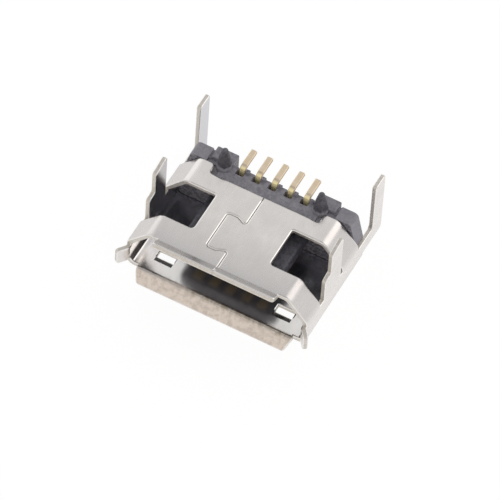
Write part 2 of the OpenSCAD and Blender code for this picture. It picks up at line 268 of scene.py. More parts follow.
def triangles(loops: list[np.ndarray], lines: list[np.ndarray]) -> tuple[np.ndarray, np.ndarray]:
    """Cuts the area inside the loops into triangles that keep to the given lines.

    Args:
        loops: The outer outline and the outlines of the holes.
        lines: Pairs of points that the triangles' edges follow.

    Returns:
        The points and the corner numbers of the triangles, anticlockwise.
    """
    points, edges, count = [], [], 0
    for loop in loops:
        n = len(loop)
        points.append(loop)
        edges += [(count + i, count + (i + 1) % n) for i in range(n)]
        count += n
    for line in lines:
        points.append(line)
        edges.append((count, count + 1))
        count += 2
    rows = [Vector(point) for point in np.concatenate(points).tolist()]
    made = delaunay_2d_cdt(rows, edges, [], 0, 2e-4)
    verts, tris = np.array([v[:] for v in made[0]]), np.array(made[2])
    tris = tris[inside(verts[tris].mean(1), loops)]
    a, b, c = (verts[tris[:, k]] for k in range(3))
    area = (b[:, 0] - a[:, 0]) * (c[:, 1] - a[:, 1]) - (b[:, 1] - a[:, 1]) * (c[:, 0] - a[:, 0])
    tris = np.where(area[:, None] < 0, tris[:, ::-1], tris)
    used, tris = np.unique(tris, return_inverse=True)
    return verts[used], tris.reshape(-1, 3)


@dataclass
class Plate:
    """A plate of even thickness with rounded edges, still flat.

    The rounded edge is a quarter ellipse, w wide and d deep. It leaves the face at an inset w: at the
    angle p it lies w sin p further out and d (1 - cos p) lower, and its normal leans outward by
    atan2(sin p / w, cos p / d). It goes from each face to the middle of the side.
    """

    flat: np.ndarray
    height: np.ndarray
    edge: np.ndarray
    lift: np.ndarray
    faces: list

    @classmethod
    def cut(cls, loops: list[np.ndarray], half: float, width: float, depth: float,
            lines: list[np.ndarray] | None = None, steps: int = 3) -> "Plate":
        """Cuts a plate from its outlines.

        Args:
            loops: The outer outline first, then the holes, in any direction.
            half: Half the plate's thickness.
            width: The width of the rounded edges.
            depth: The depth of the rounded edges.
            lines: Lines that the faces' triangles keep to.
            steps: The pieces in each rounding.

        Returns:
            The flat plate.
        """
        turned = [loop if (area_of(loop) > 0) == (k == 0) else loop[::-1] for k, loop in enumerate(loops)]
        inset = []
        for loop in turned:
            offset, _ = outward(np.roll(loop, 1, axis=0), loop, np.roll(loop, -1, axis=0))
            inset.append(loop - offset * width)
        flat, tris = triangles(inset, lines or [])
        n = len(flat)
        start, end = tris.ravel(), np.roll(tris, -1, axis=1).ravel()
        free = ~np.isin(start * n + end, end * n + start)
        start, end = start[free], end[free]
        before, after = np.zeros(n, int), np.zeros(n, int)
        after[start], before[end] = end, start
        rim = np.unique(start)
        _, normal = outward(flat[before[rim]], flat[rim], flat[after[rim]])
        spread = carried(flat[rim], inset, turned) - flat[rim]
        angle = np.linspace(0, math.pi / 2, steps + 1)[1:]
        angle = np.concatenate([angle, angle[::-1]])[:, None]
        up = np.repeat([1.0, -1.0], steps)[:, None]
        ring = flat[rim][None] + spread[None] * np.sin(angle)[:, :, None]
        level = up * (half - depth * (1 - np.cos(angle)))
        lean = np.arctan2(np.sin(angle) / width, np.cos(angle) / depth)
        rows = [rim] + [2 * n + k * len(rim) + np.arange(len(rim)) for k in range(2 * steps)] + [rim + n]
        place = np.zeros(n, int)
        place[rim] = np.arange(len(rim))
        a, b = place[start], place[end]
        quads = np.concatenate([
            np.stack([low[a], low[b], high[b], high[a]], 1) for high, low in zip(rows[:-1], rows[1:])])
        zero = np.zeros((n, 2))
        return cls(
            np.concatenate([flat, flat, ring.reshape(-1, 2)]),
            np.concatenate([np.full(n, half), np.full(n, -half),
                            np.broadcast_to(level, (2 * steps, len(rim))).ravel()]),
            np.concatenate([zero, zero, (normal[None] * np.sin(lean)[:, :, None]).reshape(-1, 2)]),
            np.concatenate([np.ones(n), -np.ones(n),
                            np.broadcast_to(up * np.cos(lean), (2 * steps, len(rim))).ravel()]),
            tris.tolist() + (tris[:, ::-1] + n).tolist() + quads.tolist())

    @property
    def wear_and_painted_light(self) -> np.ndarray:
        """How far each point lies round the edge, from 0 on the faces to 1 on the side."""
        return np.sqrt(np.clip(1 - self.lift ** 2, 0, 1))

    def along(self, axis: Axis, middle: float) -> Surface:
        """Stands the plate up: its height points along an axis and its middle lies at that place.

        Args:
            axis: The way of the height.
            middle: The place of the plate's middle along that axis.

        Returns:
            The solid piece.
        """
        u, v, w = (np.array(way, float) for way in axis.value)
        base = np.abs(w) * middle
        points = base + self.flat[:, :1] * u + self.flat[:, 1:] * v + self.height[:, None] * w
        normals = self.edge[:, :1] * u + self.edge[:, 1:] * v + self.lift[:, None] * w
        return Surface(points, normals, self.faces, self.wear_and_painted_light)


def block(axis: Axis, low: float, high: float, corners: list, radius: float) -> Surface:
    """A rounded block with an outline of (x, y, radius) corners, from low to high along an axis."""
    outline = round_corners(corners, closed=True, steps=4)
    return Plate.cut([outline], (high - low) / 2, radius, radius).along(axis, (high + low) / 2)


def lathe(profile: np.ndarray, centre: tuple[float, float], rim_rows: int, around: int = 40) -> Surface:
    """Turns a profile of radii and heights round a vertical axis: (c + r cos t, r sin t, z).

    Args:
        profile: Rows of radius and height from the foot to the tip.
        centre: The axis in plan.
        rim_rows: The rows from the foot that are paler, like the moulding's rounded edges; the others are in
            painted shade, less so to the tip.
        around: The number of points in each ring.

    Returns:
        The turned piece, closed at its foot and tip.
    """
    turn = np.linspace(0, 2 * math.pi, around, endpoint=False)
    way = np.gradient(profile, axis=0)
    way /= np.linalg.norm(way, axis=1, keepdims=True)
    cos, sin = np.cos(turn)[None], np.sin(turn)[None]
    radius, level = profile[:, :1], profile[:, 1:]
    flat = np.ones_like(cos)
    points = np.stack([centre[0] + radius * cos, centre[1] + radius * sin, level * flat], -1)
    normals = np.stack([way[:, 1:] * cos, way[:, 1:] * sin, -way[:, :1] * flat], -1)
    # painted shade on the posts, darkest at the foot
    shade = np.linspace(-1.0, -0.45, len(profile))
    wear_and_painted_light = np.repeat(np.where(np.arange(len(profile)) < rim_rows, 1.0, shade), around)
    return Surface(points.reshape(-1, 3), normals.reshape(-1, 3), tube_faces(len(profile), around), wear_and_painted_light)


def tube_faces(rows: int, around: int) -> list:
    """The quads of a grid that is closed around, and the two end caps that close it."""
    i, j = np.meshgrid(np.arange(rows - 1), np.arange(around), indexing="ij")
    k = (j + 1) % around
    quads = np.stack([i * around + j, i * around + k, (i + 1) * around + k, (i + 1) * around + j], -1)
    last = (rows - 1) * around
    caps = [list(range(around - 1, -1, -1)), list(range(last, last + around))]
    return quads.reshape(-1, 4).tolist() + caps


# Materials


class Nodes:
    """A node tree that starts empty, with short ways to add and join its nodes."""

    def __init__(self, tree: bpy.types.NodeTree) -> None:
        """Empties the tree and keeps it."""
        self.tree = tree
        tree.nodes.clear()

    def add(self, kind: str, operation: str | None = None, **values: float) -> bpy.types.Node:
        """Adds a node, sets its operation if one is given, and its inputs by name, with _ for a space."""
        node = self.tree.nodes.new(kind)
        if operation is not None:
            node.operation = operation
        for key, value in values.items():
            node.inputs[key.replace("_", " ")].default_value = value
        return node

    def join(self, source: bpy.types.NodeSocket, target: bpy.types.NodeSocket) -> None:
        """Joins an output to an input."""
        self.tree.links.new(source, target)

    def times(self, *values: bpy.types.NodeSocket) -> bpy.types.NodeSocket:
        """The product of several numbers."""
        product = values[0]
        for value in values[1:]:
            node = self.add("ShaderNodeMath", "MULTIPLY")
            self.join(product, node.inputs[0])
            self.join(value, node.inputs[1])
            product = node.outputs[0]
        return product

    def ranged(self, value: bpy.types.NodeSocket, low: float, high: float,
               start: float = 0.3, end: float = 0.7) -> bpy.types.NodeSocket:
        """Maps a value from start..end to low..high, and holds it there.

        Args:
            value: The value to map.
            low: The result at start.
            high: The result at end.
            start: The value that gives low.
            end: The value that gives high.

        Returns:
            The mapped value.
        """
        if start > end:
            start, end, low, high = end, start, high, low
        node = self.add("ShaderNodeMapRange", From_Min=start, From_Max=end, To_Min=low, To_Max=high)
        self.join(value, node.inputs["Value"])
        return node.outputs[0]

    def mix(self, share: bpy.types.NodeSocket, a: tuple | bpy.types.NodeSocket,
            b: tuple | bpy.types.NodeSocket) -> bpy.types.NodeSocket:
        """Mixes two colours by a share; each is a colour or a socket."""
        node = self.add("ShaderNodeMix")
        node.data_type = "RGBA"
        self.join(share, node.inputs[0])
        for given, socket in ((a, node.inputs[6]), (b, node.inputs[7])):
            if isinstance(given, tuple):
                socket.default_value = (*given, 1.0)
            else:
                self.join(given, socket)
        return node.outputs[2]


class Graph(Nodes):
    """A material's node tree, with its output, its shader and the place in millimetres."""

    def __init__(self, name: str) -> None:
        """Makes a material of that name."""
        self.material = bpy.data.materials.new(name)
        self.material.use_nodes = True
        super().__init__(self.material.node_tree)
        self.out = self.add("ShaderNodeOutputMaterial")
        self.shader = self.add("ShaderNodeBsdfPrincipled")
        self.join(self.shader.outputs[0], self.out.inputs["Surface"])
        scale = self.add("ShaderNodeVectorMath", "SCALE", Scale=1 / MM)
        self.join(self.add("ShaderNodeTexCoord").outputs["Object"], scale.inputs[0])
        self.place = scale.outputs[0]

    def shade(self, **values: bpy.types.NodeSocket) -> None:
        """Joins values to the shader's inputs by name, with _ for a space."""
        for key, value in values.items():
            self.join(value, self.shader.inputs[key.replace("_", " ")])

    def stretched(self, x: float, y: float, z: float) -> bpy.types.NodeSocket:
        """The place in millimetres, multiplied along each axis."""
        node = self.add("ShaderNodeVectorMath", "MULTIPLY")
        node.inputs[1].default_value = (x, y, z)
        self.join(self.place, node.inputs[0])
        return node.outputs[0]

    def along(self, axis: int, start: float, end: float) -> bpy.types.NodeSocket:
        """A share that goes from 0 to 1 between two places on an axis, in millimetres."""
        node = self.add("ShaderNodeSeparateXYZ")
        self.join(self.place, node.inputs[0])
        return self.ranged(node.outputs[axis], 0.0, 1.0, start, end)

    def noise(self, scale: float, detail: float = 3.0, rough: float = 0.55,
              place: bpy.types.NodeSocket | None = None) -> bpy.types.NodeSocket:
        """A noise of that many features per millimetre.

        Args:
            scale: Features per millimetre.
            detail: Octaves of finer noise.
            rough: The weight of the finer octaves.
            place: Where the noise is read, or None for the plain place.

        Returns:
            The noise value, around 0.5.
        """
        node = self.add("ShaderNodeTexNoise", Scale=scale, Detail=detail, Roughness=rough)
        self.join(self.place if place is None else place, node.inputs["Vector"])
        return node.outputs[0]

    def attribute(self, name: str) -> bpy.types.NodeSocket:
        """A number that is written on the mesh."""
        node = self.add("ShaderNodeAttribute")
        node.attribute_name = name
        return node.outputs["Fac"]

    def blend(self, share: bpy.types.NodeSocket, a: bpy.types.NodeSocket,
              b: bpy.types.NodeSocket) -> bpy.types.NodeSocket:
        """Blends two numbers by a share."""
        node = self.add("ShaderNodeMix")
        for value, socket in zip((share, a, b), node.inputs[:1] + node.inputs[2:4]):
            self.join(value, socket)
        return node.outputs[0]

    def bump(self, height: bpy.types.NodeSocket, depth: float) -> bpy.types.NodeSocket:
        """The normal of a bump whose height, from 0 to 1, stands for that depth in millimetres."""
        node = self.add("ShaderNodeBump", Strength=1.0, Distance=depth * MM)
        self.join(height, node.inputs["Height"])
        return node.outputs[0]


@dataclass(frozen=True)
class Nickel:
    """Nickel plating on rolled sheet, with polish and partly a painted highlight at its rounded edges, and a
    duller sheared edge.

    Painted shade darkens the shoulders, the top wall near the front, the lip and the inside, and a painted
    sheen lightens the mouth's floor. A pair whose name ends in an axis is where a tone starts and where it
    is full on that axis.
    """

    light: tuple = (0.87, 0.84, 0.815)
    deep: tuple = (0.81, 0.775, 0.75)
    # painted shade of the shoulders
    shoulder_shade: tuple = (0.69, 0.665, 0.65)
    # painted shade on the top wall near the front, with the heights and the depths where it starts and is
    # full
    top_front_shade: tuple = (0.63, 0.61, 0.60)
    top_front_shade_z: tuple = (-0.3, -0.15)
    top_front_shade_y: tuple = (-2.2, -4.3)
    # polish at the rounded edges, partly a painted highlight, and a painted sheen on the mouth's floor
    polish_and_sheen: tuple = (0.93, 0.91, 0.89)
    floor_z: tuple = (-1.95, -2.1)
    # where the painted sheen on the mouth's floor starts and is full
    sheen_y: tuple = (-2.8, -3.4)
    cut_light: tuple = (0.80, 0.77, 0.72)
    cut_deep: tuple = (0.62, 0.58, 0.52)
    # painted shade of the lip: darker, warmer tones, mixed by noise
    lip: tuple = (0.80, 0.725, 0.66)
    lip_deep: tuple = (0.66, 0.59, 0.535)
    lip_y: tuple = (-4.1, -4.25)
    stain: tuple = (0.31, 0.255, 0.16)
    stain_x: tuple = (-2.4, -0.8)
    stain_y: tuple = (-4.06, -4.16)
    stain_end_y: tuple = (-4.36, -4.19)
    shade: tuple = (0.66, 0.66, 0.69)
    shade_y: tuple = (-3.4, -2.4)
    rough: float = 0.27
    inner_rough: float = 0.19
    cut_rough: float = 0.42
    grain: float = 0.0001

    def build(self, name: str) -> bpy.types.Material:
        """Builds the plating's material under that name."""
        g = Graph(name)
        wear_and_painted_light, inside, low = g.attribute("wear_and_painted_light"), g.attribute("inner"), g.along(Z, *self.floor_z)
        lines = g.noise(5.0, 3.0, 0.6, g.stretched(1.0, 0.25, 1.0))
        marks = g.noise(14.0, 4.0, 0.65)
        plate = g.mix(g.ranged(g.noise(1.2, 2.0), 0.0, 1.0), self.deep, self.light)
        # painted shade: the top wall darkens towards the front, standing in for darker reflections
        plate = g.mix(g.times(g.along(Z, *self.top_front_shade_z), g.along(Y, *self.top_front_shade_y)), plate, self.top_front_shade)
        # painted shade: the shoulders are darker, standing in for dimmer reflections there
        plate = g.mix(g.attribute("shoulder"), plate, self.shoulder_shade)
        # painted sheen: the inner floor lightens towards the mouth, standing in for a brighter reflection
        plate = g.mix(g.times(inside, low, g.along(Y, *self.sheen_y)), plate, self.polish_and_sheen)
        # painted shade: the lip is darker and warmer, standing in for its reflection of the warm front
        mottled_lip_shade = g.mix(g.ranged(g.noise(5.0, 3.0, 0.6), 0.0, 1.0, 0.38, 0.6), self.lip_deep, self.lip)
        plate = g.mix(g.times(low, g.along(Y, *self.lip_y)), plate, mottled_lip_shade)
        crease = g.times(low, g.along(Y, *self.stain_y), g.along(Y, *self.stain_end_y),
                         g.along(X, *self.stain_x))
        streaks = g.ranged(g.noise(6.0, 4.0, 0.7, g.stretched(1.0, 0.5, 0.5)), 0.35, 1.0, 0.42, 0.56)
        plate = g.mix(g.times(crease, streaks), plate, self.stain)
        plate = g.mix(g.times(inside, g.along(Y, *self.shade_y)), plate, self.shade)
        # the rounded edges are paler: polish, and partly a painted highlight
        plate = g.mix(g.ranged(wear_and_painted_light, 0.0, 0.8, 0.1, 0.6), plate, self.polish_and_sheen)
        sheared = g.mix(g.ranged(marks, 0.0, 1.0), self.cut_deep, self.cut_light)
        side = g.ranged(wear_and_painted_light, 0.0, 1.0, 0.9, 0.99)
        outer = g.ranged(lines, self.rough - 0.05, self.rough + 0.07)
        inner = g.ranged(lines, self.inner_rough - 0.03, self.inner_rough + 0.05)
        cut = g.ranged(marks, self.cut_rough, self.cut_rough + 0.14)
        g.shade(Base_Color=g.mix(side, plate, sheared),
                Roughness=g.blend(side, g.blend(inside, outer, inner), cut),
                Normal=g.bump(g.noise(5.0, 3.0), self.grain))
        g.shader.inputs["Metallic"].default_value = 1.0
        return g.material


@dataclass(frozen=True)
class Moulding:
    """Dark glass-filled plastic with fine pale fibres in its skin and paler edges, from rubbing and partly a
    painted highlight; painted light lifts the ledge and the inner blocks, and painted shade darkens the
    tongue and the posts.
    """

    body: tuple = (0.094, 0.091, 0.111)
    pale: tuple = (0.290, 0.281, 0.315)
    shade: tuple = (0.048, 0.047, 0.058)
    rough: float = 0.5
    grain: float = 0.006

    def build(self, name: str) -> bpy.types.Material:
        """Builds the plastic's material under that name."""
        g = Graph(name)
        fibres, clouds, wear_and_painted_light = g.noise(9.0, 4.0, 0.75), g.noise(4.0, 4.0, 0.6), g.attribute("wear_and_painted_light")
        tone = g.mix(g.ranged(clouds, 0.0, 0.7, 0.36, 0.68), self.body, self.pale)
        tone = g.mix(g.ranged(fibres, 0.0, 0.8, 0.51, 0.62), tone, self.pale)
        tone = g.mix(g.ranged(fibres, 0.0, 0.85, 0.49, 0.38), tone, self.shade)
        # paler rounded edges, from rubbing and partly a painted highlight; the same value makes the ledge
        # and the inner blocks lighter as painted light, and the collars' rims paler
        tone = g.mix(g.ranged(wear_and_painted_light, 0.0, 0.7, 0.2, 0.9), tone, self.pale)
        # painted shade where the value is negative: the tongue and the posts
        g.shade(Base_Color=g.mix(g.ranged(wear_and_painted_light, 0.0, 0.75, -0.1, -0.8), tone, self.shade),
                Roughness=g.ranged(fibres, self.rough - 0.06, self.rough + 0.1),
                Normal=g.bump(fibres, self.grain))
        return g.material


@dataclass(frozen=True)
class Gold:
    """Thin gold plating over nickel, pale and satin, with its golden hue pushed to full brightness on the
    bend and the riser as painted light.

    The blades under the tongue are darker with painted shade. A pair whose name ends in _z is the height
    where a tone starts and where it is full.
    """

    light: tuple = (0.87, 0.74, 0.585)
    deep: tuple = (0.78, 0.63, 0.44)
    # the gold's own hue at full brightness, partly painted light, on the bend and the riser
    lit_yellow: tuple = (1.0, 0.88, 0.50)
    lit_yellow_z: tuple = (-0.03, -0.10)
    side: tuple = (0.52, 0.38, 0.24)
    # painted shade of the blades under the tongue
    blade: tuple = (0.21, 0.17, 0.11)
    blade_z: tuple = (-0.85, -1.0)
    rough: float = 0.30
    upright_z: tuple = (-0.10, -0.20)
    upright_metal: float = 0.15
    grain: float = 0.001

    def build(self, name: str) -> bpy.types.Material:
        """Builds the plating's material under that name, browner on the sheared sides."""
        g = Graph(name)
        clouds, upright = g.noise(3.0, 4.0), g.along(Z, *self.upright_z)
        tone = g.mix(g.ranged(clouds, 0.0, 1.0), self.deep, self.light)
        # partly painted light: the gold's hue at full brightness on the bend and the riser, where the notch
        # shades them
        tone = g.mix(g.along(Z, *self.lit_yellow_z), tone, self.lit_yellow)
        # painted shade: the blades under the tongue are darker
        tone = g.mix(g.along(Z, *self.blade_z), tone, self.blade)
        satin = g.ranged(clouds, self.rough - 0.04, self.rough + 0.08)
        dull = g.ranged(clouds, self.rough + 0.14, self.rough + 0.24)
        g.shade(Base_Color=g.mix(g.ranged(g.attribute("wear_and_painted_light"), 0.0, 1.0, 0.7, 0.97), tone, self.side),
                Metallic=g.ranged(upright, 1.0, self.upright_metal, 0.0, 1.0),
                Roughness=g.blend(upright, satin, dull), Normal=g.bump(g.noise(12.0, 3.0), self.grain))
        return g.material


# The shell


@dataclass
class Section:
    """The middle line of the sheet round the shell's section, by arc length from the seam.

    The line turns clockwise from +X by curvature over each fold: a heading t has the way
    (cos t, -sin t) and the outward normal (sin t, cos t). The left half mirrors the right one.
    """

    sheet: float = 0.2
    mouth_w: float = 6.9
    mouth_h: float = 1.85
    top_w: float = 5.64
    shoulder_h: float = 0.97
    fold_r: float = 0.15
    fold_steps: int = 7
    soft: float = 0.12

    def __post_init__(self) -> None:
        """Works out the stretches of the right half: start, heading, curvature and length."""
        mid, radius = self.sheet / 2, self.fold_r + self.sheet / 2
        slope = math.atan2(self.shoulder_h, self.outer_x - self.top_w / 2)
        turns = [slope, math.pi / 2 - slope, math.pi / 2]
        corners = np.array([
            [0.0, -mid],
            [self.top_w / 2 - mid * math.tan(slope / 2), -mid],
            [self.outer_x - mid, -self.shoulder_h - mid * math.tan(turns[1] / 2)],
            [self.outer_x - mid, mid - self.outer_h],
            [0.0, mid - self.outer_h]])
        spans = np.linalg.norm(np.diff(corners, axis=0), axis=1)
        cut = [0.0] + [radius * math.tan(turn / 2) for turn in turns] + [0.0]
        rows, at, heading = [], 0.0, 0.0
        point = corners[0]
        for i, span in enumerate(spans):
            length = span - cut[i] - cut[i + 1]
            rows.append((at, *point, heading, 0.0))
            point = point + length * np.array([math.cos(heading), -math.sin(heading)])
            at += length
            if i < 3:
                rows.append((at, *point, heading, 1 / radius))
                end = heading + turns[i]
                point = point + radius * np.array([
                    math.sin(end) - math.sin(heading), math.cos(end) - math.cos(heading)])
                at += radius * turns[i]
                heading = end
        self.rows = np.array(rows)
        self.half = at

    @property
    def outer_x(self) -> float:
        """The outer face of the side walls."""
        return self.mouth_w / 2 + self.sheet

    @property
    def outer_h(self) -> float:
        """The outer height of the tube."""
        return self.mouth_h + 2 * self.sheet

    @property
    def round_trip(self) -> float:
        """The arc length all the way round."""
        return 2 * self.half

    def at_side(self, z: float) -> float:
        """The arc length at height z on the right side wall, or on its plane above the fold."""
        start, _, z_start = self.rows[4, :3]
        return float(start + z_start - z)

    def at_floor(self, x: float) -> float:
        """The arc length at x on the wide wall."""
        return self.half - x

    def fold_lines(self) -> np.ndarray:
        """The arc lengths of the lines across the folds of the right half."""
        starts, ends = self.rows[[1, 3, 5], 0], self.rows[[2, 4, 6], 0]
        beside = np.array([0.5, 1.0]) * self.soft
        parts = []
        for a, b in zip(starts, ends):
            parts += [a - beside, np.linspace(a, b, self.fold_steps + 1), b + beside]
        return np.concatenate(parts)

    def right_half(self, s: np.ndarray) -> np.ndarray:
        """Arc lengths with those of the left half carried to the right half."""
        return np.where(s > self.half, self.round_trip - s, s)

    def stretch(self, t: np.ndarray) -> np.ndarray:
        """The row of the stretch in which each arc length of the right half lies."""
        found = np.searchsorted(self.rows[:, 0], t, side="right") - 1
        return self.rows[np.clip(found, 0, len(self.rows) - 1)]

    def heading(self, t: np.ndarray) -> np.ndarray:
        """The line's heading at arc lengths of the right half."""
        row = self.stretch(t)
        return row[:, 3] + row[:, 4] * (t - row[:, 0])

    def place(self, s: np.ndarray) -> tuple[np.ndarray, np.ndarray, np.ndarray]:
        """Carries arc lengths to the section.

        Each stretch starts at (x, z) with heading t and curvature k: after a length l a straight one
        is at (x + l cos t, z - l sin t), and a fold at (x + (sin(t + kl) - sin t) / k,
        z + (cos(t + kl) - cos t) / k). The shading spreads each fold to both sides: its heading is
        (t(s - soft) + 2 t(s) + t(s + soft)) / 4.

        Args:
            s: The arc lengths, from the seam clockwise.

        Returns:
            The points, the outward normals and the softer shading normals, as rows of X and Z.
        """
        t = self.right_half(s)
        start, x, z, heading, bend = self.stretch(t).T
        along = t - start
        end = heading + bend * along
        safe = np.where(bend > 0, bend, 1.0)
        x = x + np.where(bend > 0, (np.sin(end) - np.sin(heading)) / safe, along * np.cos(heading))
        z = z + np.where(bend > 0, (np.cos(end) - np.cos(heading)) / safe, -along * np.sin(heading))
        side = np.where(s > self.half, -1.0, 1.0)
        smooth = (self.heading(t - self.soft) + 2 * end + self.heading(t + self.soft)) / 4
        return (np.stack([side * x, z], 1), np.stack([side * np.sin(end), np.cos(end)], 1),
                np.stack([side * np.sin(smooth), np.cos(smooth)], 1))


@dataclass
class Shell:
    """The folded shell, laid out as its flat blank and then folded.

    The blank has the arc length round the section across and the depth Y along. Its legs are cut
    out of the windows and stand in the planes of the side walls.
    """

    section: Section = field(default_factory=Section)
    mouth_y: float = -4.12
    top_back: float = 0.62
    shoulder_back: float = 0.18
    floor_back: float = 0.25
    step_x: float = 2.2
    step_r: float = 0.2
    window_x: float = 1.55
    window_back: float = 1.37
    window_front: float = 3.09
    window_r: float = 0.14
    window_drop: float = 1.15
    seam_gap: float = 0.014
    tab_reach: float = 0.8
    tab_back: float = 1.86
    tab_front: float = 3.52
    tab_hook: float = 0.2
    tab_r: float = 0.12
    leg_h: float = 1.169
    rear_leg_w: float = 0.72
    rear_leg_back: float = 1.649
    front_leg_w: float = 0.84
    front_leg_back: float = 1.54
    stop_w: float = 0.41
    leg_r: float = 0.12
    tip_fall: float = 0.14
    arm_top: float = 1.25
    arm_bottom: float = 1.9
    lip_angle: float = 60.0
    lip_flat: float = 0.42
    lip_w: float = 6.3
    lip_edge_w: float = 5.95
    flare_angle: float = 30.0
    flare_flat: float = 0.36
    flare_w: float = 4.9
    horn_angle: float = 38.0
    horn_flat: float = 0.39
    horn_top: float = 1.16
    horn_h: float = 0.74
    flare_r: float = 0.12
    lip_bend: float = 0.1
    latch_w: float = 0.68
    latch_l: float = 0.555
    latch_x: float = 2.4
    latch_r: float = 0.03
    latch_setback: float = 0.415
    press_l: float = 0.285
    press_d: float = 0.09
    press_bend: float = 0.2
    press_side: float = 0.03
    skin: float = 0.1985
    edge_w: float = 0.075
    edge_d: float = 0.045
    draw_l: float = 0.9
    draw_angle: float = 9.0
    top_half: float = 2.7
    row_step: float = 0.4

    def flap_length(self, angle: float, flat: float) -> float:
        """The blank's length of a flap: its fold's arc and its flat."""
        return self.bend_r * math.radians(angle) + flat

    @property
    def bend_r(self) -> float:
        """The middle radius of the folds at the mouth."""
        return self.lip_bend + self.section.sheet / 2

    def mirrored(self, line: np.ndarray) -> np.ndarray:
        """A line of the right half, carried to the left half and run backwards."""
        return np.stack([self.section.round_trip - line[::-1, 0], line[::-1, 1]], 1)

    def seam_line(self, front: float) -> np.ndarray:
        """The seam's line in plan from the rear edge to the front edge, with its tab's corners round."""
        hook = self.tab_r * 0.9
        return round_corners([
            (0, -self.top_back, 0), (0, -self.tab_back - self.tab_hook, hook),
            (-self.tab_reach / 2, -self.tab_back, self.tab_r),
            (-self.tab_reach, -self.tab_back, self.tab_r),
            (-self.tab_reach, -self.tab_front, self.tab_r),
            (-self.tab_reach / 2, -self.tab_front, self.tab_r),
            (0, -self.tab_front + self.tab_hook, hook), (0, front, 0)], closed=False)

    def front_edge(self) -> np.ndarray:
        """The front edge of the right half: flare, shoulder, side tab, lip."""
        y, floor = self.mouth_y, self.section.at_floor
        top, low = (self.section.at_side(-self.horn_top - fall) for fall in (0.0, self.horn_h))
        flare = y - self.flap_length(self.flare_angle, self.flare_flat)
        horn = y - self.flap_length(self.horn_angle, self.horn_flat)
        lip = y - self.flap_length(self.lip_angle, self.lip_flat)
        return round_corners([
            (self.seam_gap / 2, flare, 0), (self.flare_w / 2, flare, self.flare_r),
            (self.flare_w / 2, y, 0), (top, y, 0), (top, horn, self.flare_r),
            (low, horn, self.flare_r), (low, y, 0), (floor(self.lip_w / 2), y, 0),
            (floor(self.lip_w / 2), y - self.lip_bend, self.flare_r),
            (floor(self.lip_edge_w / 2), lip, self.flare_r), (floor(0), lip, 0)], closed=False)

    def rear_edge(self) -> np.ndarray:
        """The rear edge of the right half: board-side wall, shoulder, arm, rear leg, wide wall."""
        side, leg_front = self.section.at_side, self.rear_leg_back - self.rear_leg_w
        return round_corners([
            (self.seam_gap / 2, -self.top_back, 0), (self.step_x, -self.top_back, self.step_r / 2),
            (self.step_x, -self.shoulder_back, self.step_r), (side(-self.arm_top), -self.shoulder_back, 0),
            (side(-self.arm_top), leg_front, self.leg_r), (side(self.leg_h), leg_front, self.leg_r),
            (side(self.leg_h), self.rear_leg_back, self.leg_r),
            (side(-self.arm_bottom), self.rear_leg_back, self.leg_r),
            (side(-self.arm_bottom), self.floor_back, 0), (self.section.at_floor(0), self.floor_back, 0)],
            closed=False)

    def window(self) -> np.ndarray:
        """The hole of the right window round its leg, from the root of the leg and back to it."""
        side = self.section.at_side
        root, back = side(-self.window_drop), -self.front_leg_back
        front = back - self.front_leg_w
        return round_corners([
            (root, back, 0), (root, -self.window_back, 0),
            (self.window_x, -self.window_back, self.window_r / 2),
            (self.window_x, -self.window_front, self.window_r), (root, -self.window_front, 0),
            (root, front - self.stop_w, 0), (side(-self.tip_fall / 2), front - self.stop_w, self.leg_r),
            (side(0), front, self.leg_r / 2), (side(self.leg_h - self.tip_fall), front, self.leg_r),
            (side(self.leg_h), back, self.leg_r)], closed=True)

    def latch_hole(self) -> np.ndarray:
        """The right latch hole in the wide wall, behind its pressed front margin."""
        s, y = self.section.at_floor(self.latch_x), self.mouth_y + self.latch_setback + self.press_l
        half, length = self.latch_w / 2, self.latch_l - self.press_l
        corners = rectangle(s - half, y, s + half, y + length, self.latch_r)
        return round_corners(corners, closed=True, steps=3)

    def outline(self) -> np.ndarray:
        """The blank's whole outline, from the seam's right edge round to its left edge."""
        front, rear = self.front_edge(), self.rear_edge()
        seam = self.seam_line(front[0, 1])
        normal = left_normals(seam)
        right, left = seam + normal * self.seam_gap / 2, seam - normal * self.seam_gap / 2
        left = np.stack([self.section.round_trip + left[:, 0], left[:, 1]], 1)
        front_left, rear_left = self.mirrored(front), self.mirrored(rear)
        return np.concatenate([
            right[:-1], front, front_left[1:-1], left[::-1][:-1], rear_left[::-1], rear[::-1][1:-1]])

    def grid_edges(self) -> list[np.ndarray]:
        """The lines that the triangles follow: along each fold, and across at a regular step."""
        total = self.section.round_trip
        folds = self.section.fold_lines()
        low, high = self.mouth_y - 1.0, self.rear_leg_back + 0.5
        lines = [np.array([[s, low], [s, high]]) for s in np.concatenate([folds, total - folds])]
        rows = list(np.arange(self.mouth_y, self.rear_leg_back, self.row_step))
        lines += [np.array([[-1.0, y], [total + 1.0, y]]) for y in rows]
        floor, side = self.section.at_floor, self.section.at_side
        flaps = [(-0.1, self.flare_w / 2 + 0.1, self.flare_angle),
                 (side(-self.horn_top + 0.05), side(-self.horn_top - self.horn_h - 0.05), self.horn_angle),
                 (floor(self.lip_w / 2 + 0.05), floor(-0.01), self.lip_angle)]
        latch, half, y = floor(self.latch_x), self.latch_w / 2, self.mouth_y + self.latch_setback
        ends = np.array([[latch, y], [latch, y]])
        across, along = np.array([[-half, 0], [half, 0]]), np.array([[0, 0], [0, self.press_l]])
        for share in (0.0, self.press_bend):
            line = ends + across + [0, self.press_l * share]
            lines += [line, self.mirrored(line)]
        for aside in (half, half + self.press_side):
            for line in (ends + along - [aside, 0], ends + along + [aside, 0]):
                lines += [line, self.mirrored(line)]
        for low_s, high_s, angle in flaps:
            for share in np.linspace(1 / 7, 1, 7):
                y = self.mouth_y - self.bend_r * math.radians(angle) * share
                line = np.array([[low_s, y], [high_s, y]])
                lines += [line, self.mirrored(line)]
        return lines

